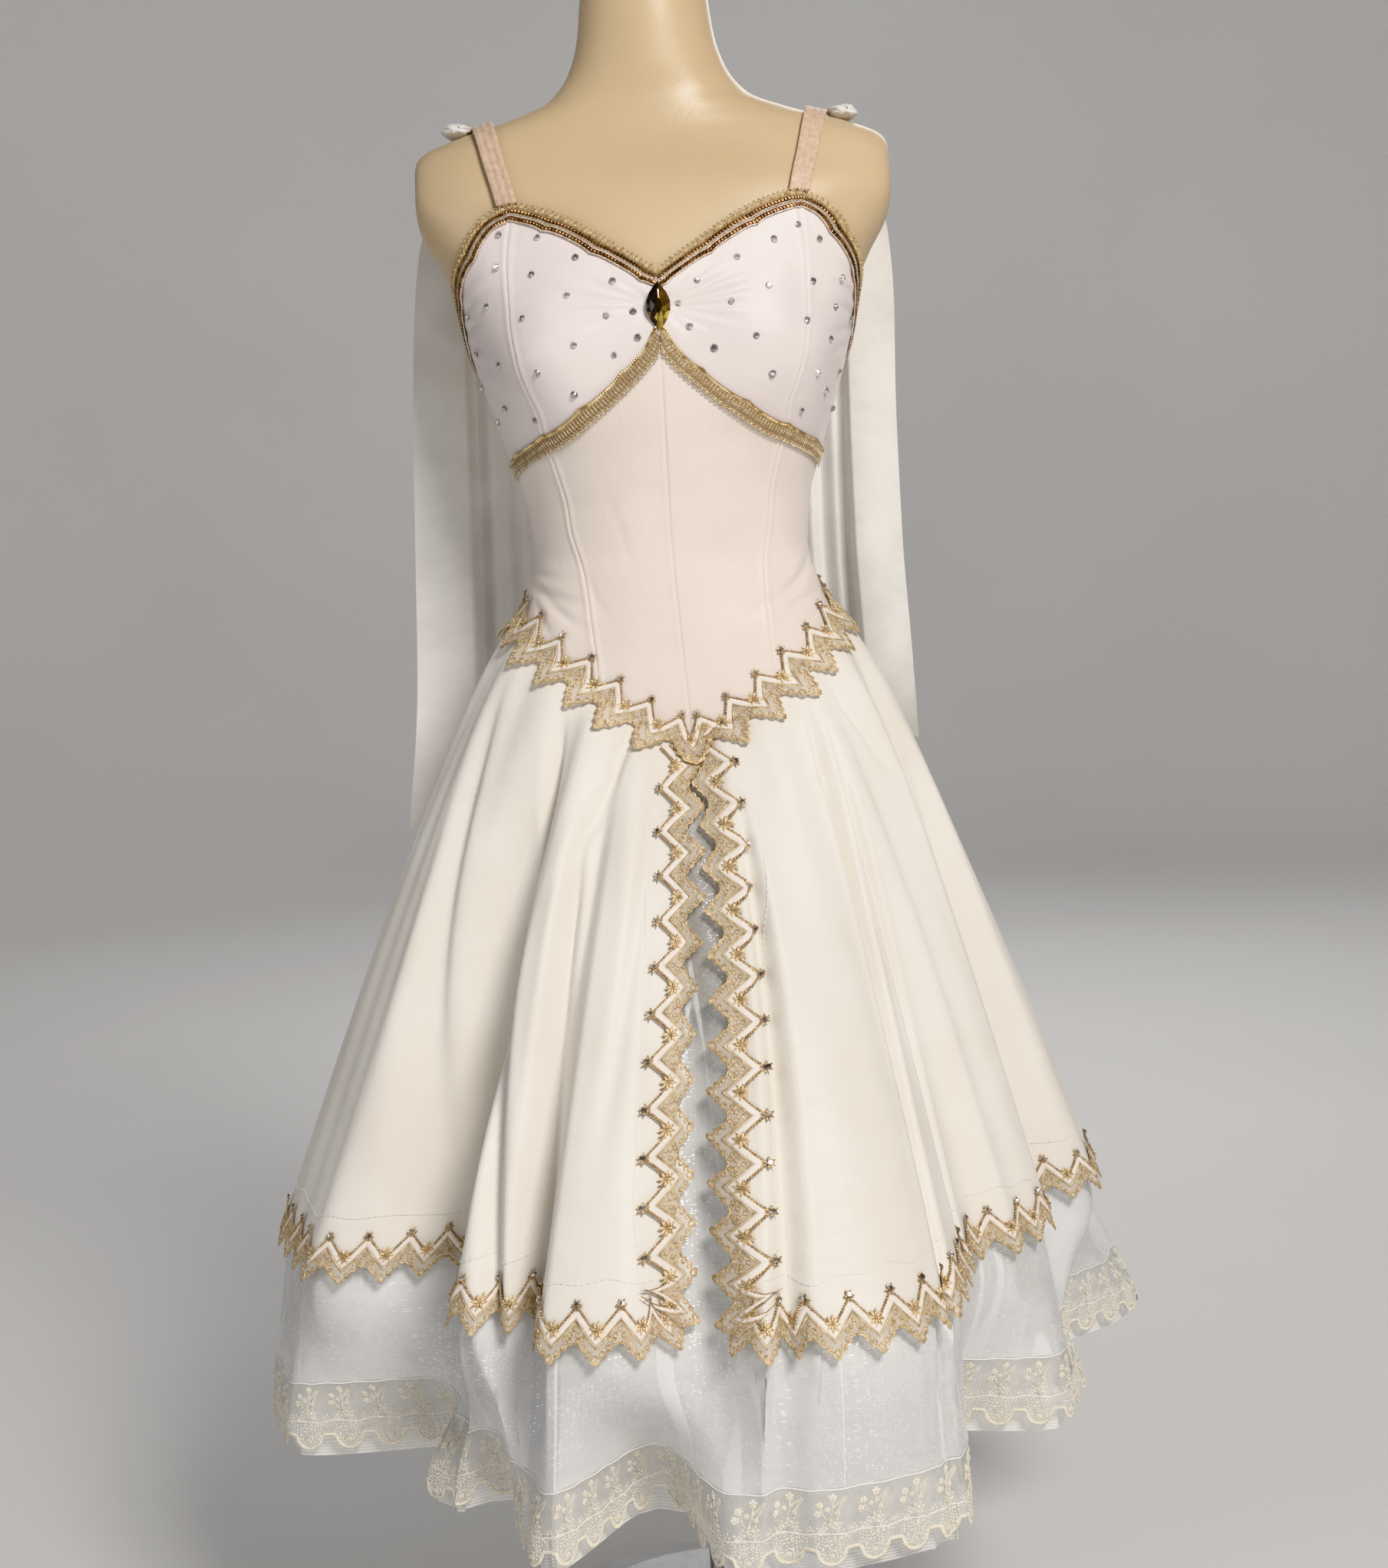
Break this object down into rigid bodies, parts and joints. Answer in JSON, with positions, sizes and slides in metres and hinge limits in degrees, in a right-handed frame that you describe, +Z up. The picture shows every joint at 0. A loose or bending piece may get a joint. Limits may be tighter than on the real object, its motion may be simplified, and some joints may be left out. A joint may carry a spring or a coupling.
{
  "type": "ballet tutu dress on a dress form",
  "caption": "Knee-length ballet dress on a limbless dress form: satin bodice and split overskirt with gold zigzag lace over tulle and net, with sheer shoulder drapes.",
  "frame": {"origin": "centre of the round base's underside, on the surface that the dress form stands on", "axes": "+Z up along the pole, the front of the dress faces -Y, +X to the right as seen from the front"},
  "size_m": [0.7745, 0.7965, 1.466],
  "materials": {
    "form": "skin-beige moulded shell, satin",
    "stand": "brushed",
    "bodice": "ivory pink duchess satin",
    "cup": "lilac white satin, gathered",
    "gimp": "gold gimp with sequins",
    "gem": "faceted, foil backed",
    "strap": "ribbed elastic",
    "skirt": "heavy ivory satin",
    "tulle": "sheer tulle with tiny bright dashes",
    "net": "stiff net",
    "border": "embroidered net",
    "lace": "gold zigzag lace on white satin tape",
    "chiffon": "sheer chiffon"
  },
  "bodies": {
    "root": {"form_torso": "form", "form_pole": "stand", "form_base": "stand", "cup_left": "cup", "cup_side_left": "cup", "cup_right": "cup", "cup_side_right": "cup", "bodice_front_left": "bodice", "bodice_side_front_left": "bodice", "bodice_back_left": "bodice", "bodice_front_right": "bodice", "bodice_side_front_right": "bodice", "bodice_back_right": "bodice", "neckline_trim": "gimp", "underbust_trim_left": "gimp", "underbust_trim_right": "gimp", "gem": "gem", "strap_left": "strap", "strap_right": "strap", "overskirt_front_left": "skirt", "overskirt_front_right": "skirt", "overskirt_back_left": "skirt", "overskirt_back_right": "skirt", "tulle_front": "tulle", "tulle_back": "tulle", "petticoat_front": "net", "petticoat_back": "net", "lace_border_front": "border", "lace_border_back": "border", "hem_lace_front_left": "lace", "hem_lace_front_right": "lace", "hem_lace_back_left": "lace", "hem_lace_back_right": "lace", "edge_lace_left": "lace", "edge_lace_right": "lace", "basque_lace_front": "lace", "basque_lace_back": "lace", "drape_left": "chiffon", "drape_right": "chiffon"}
  },
  "joints": []
}
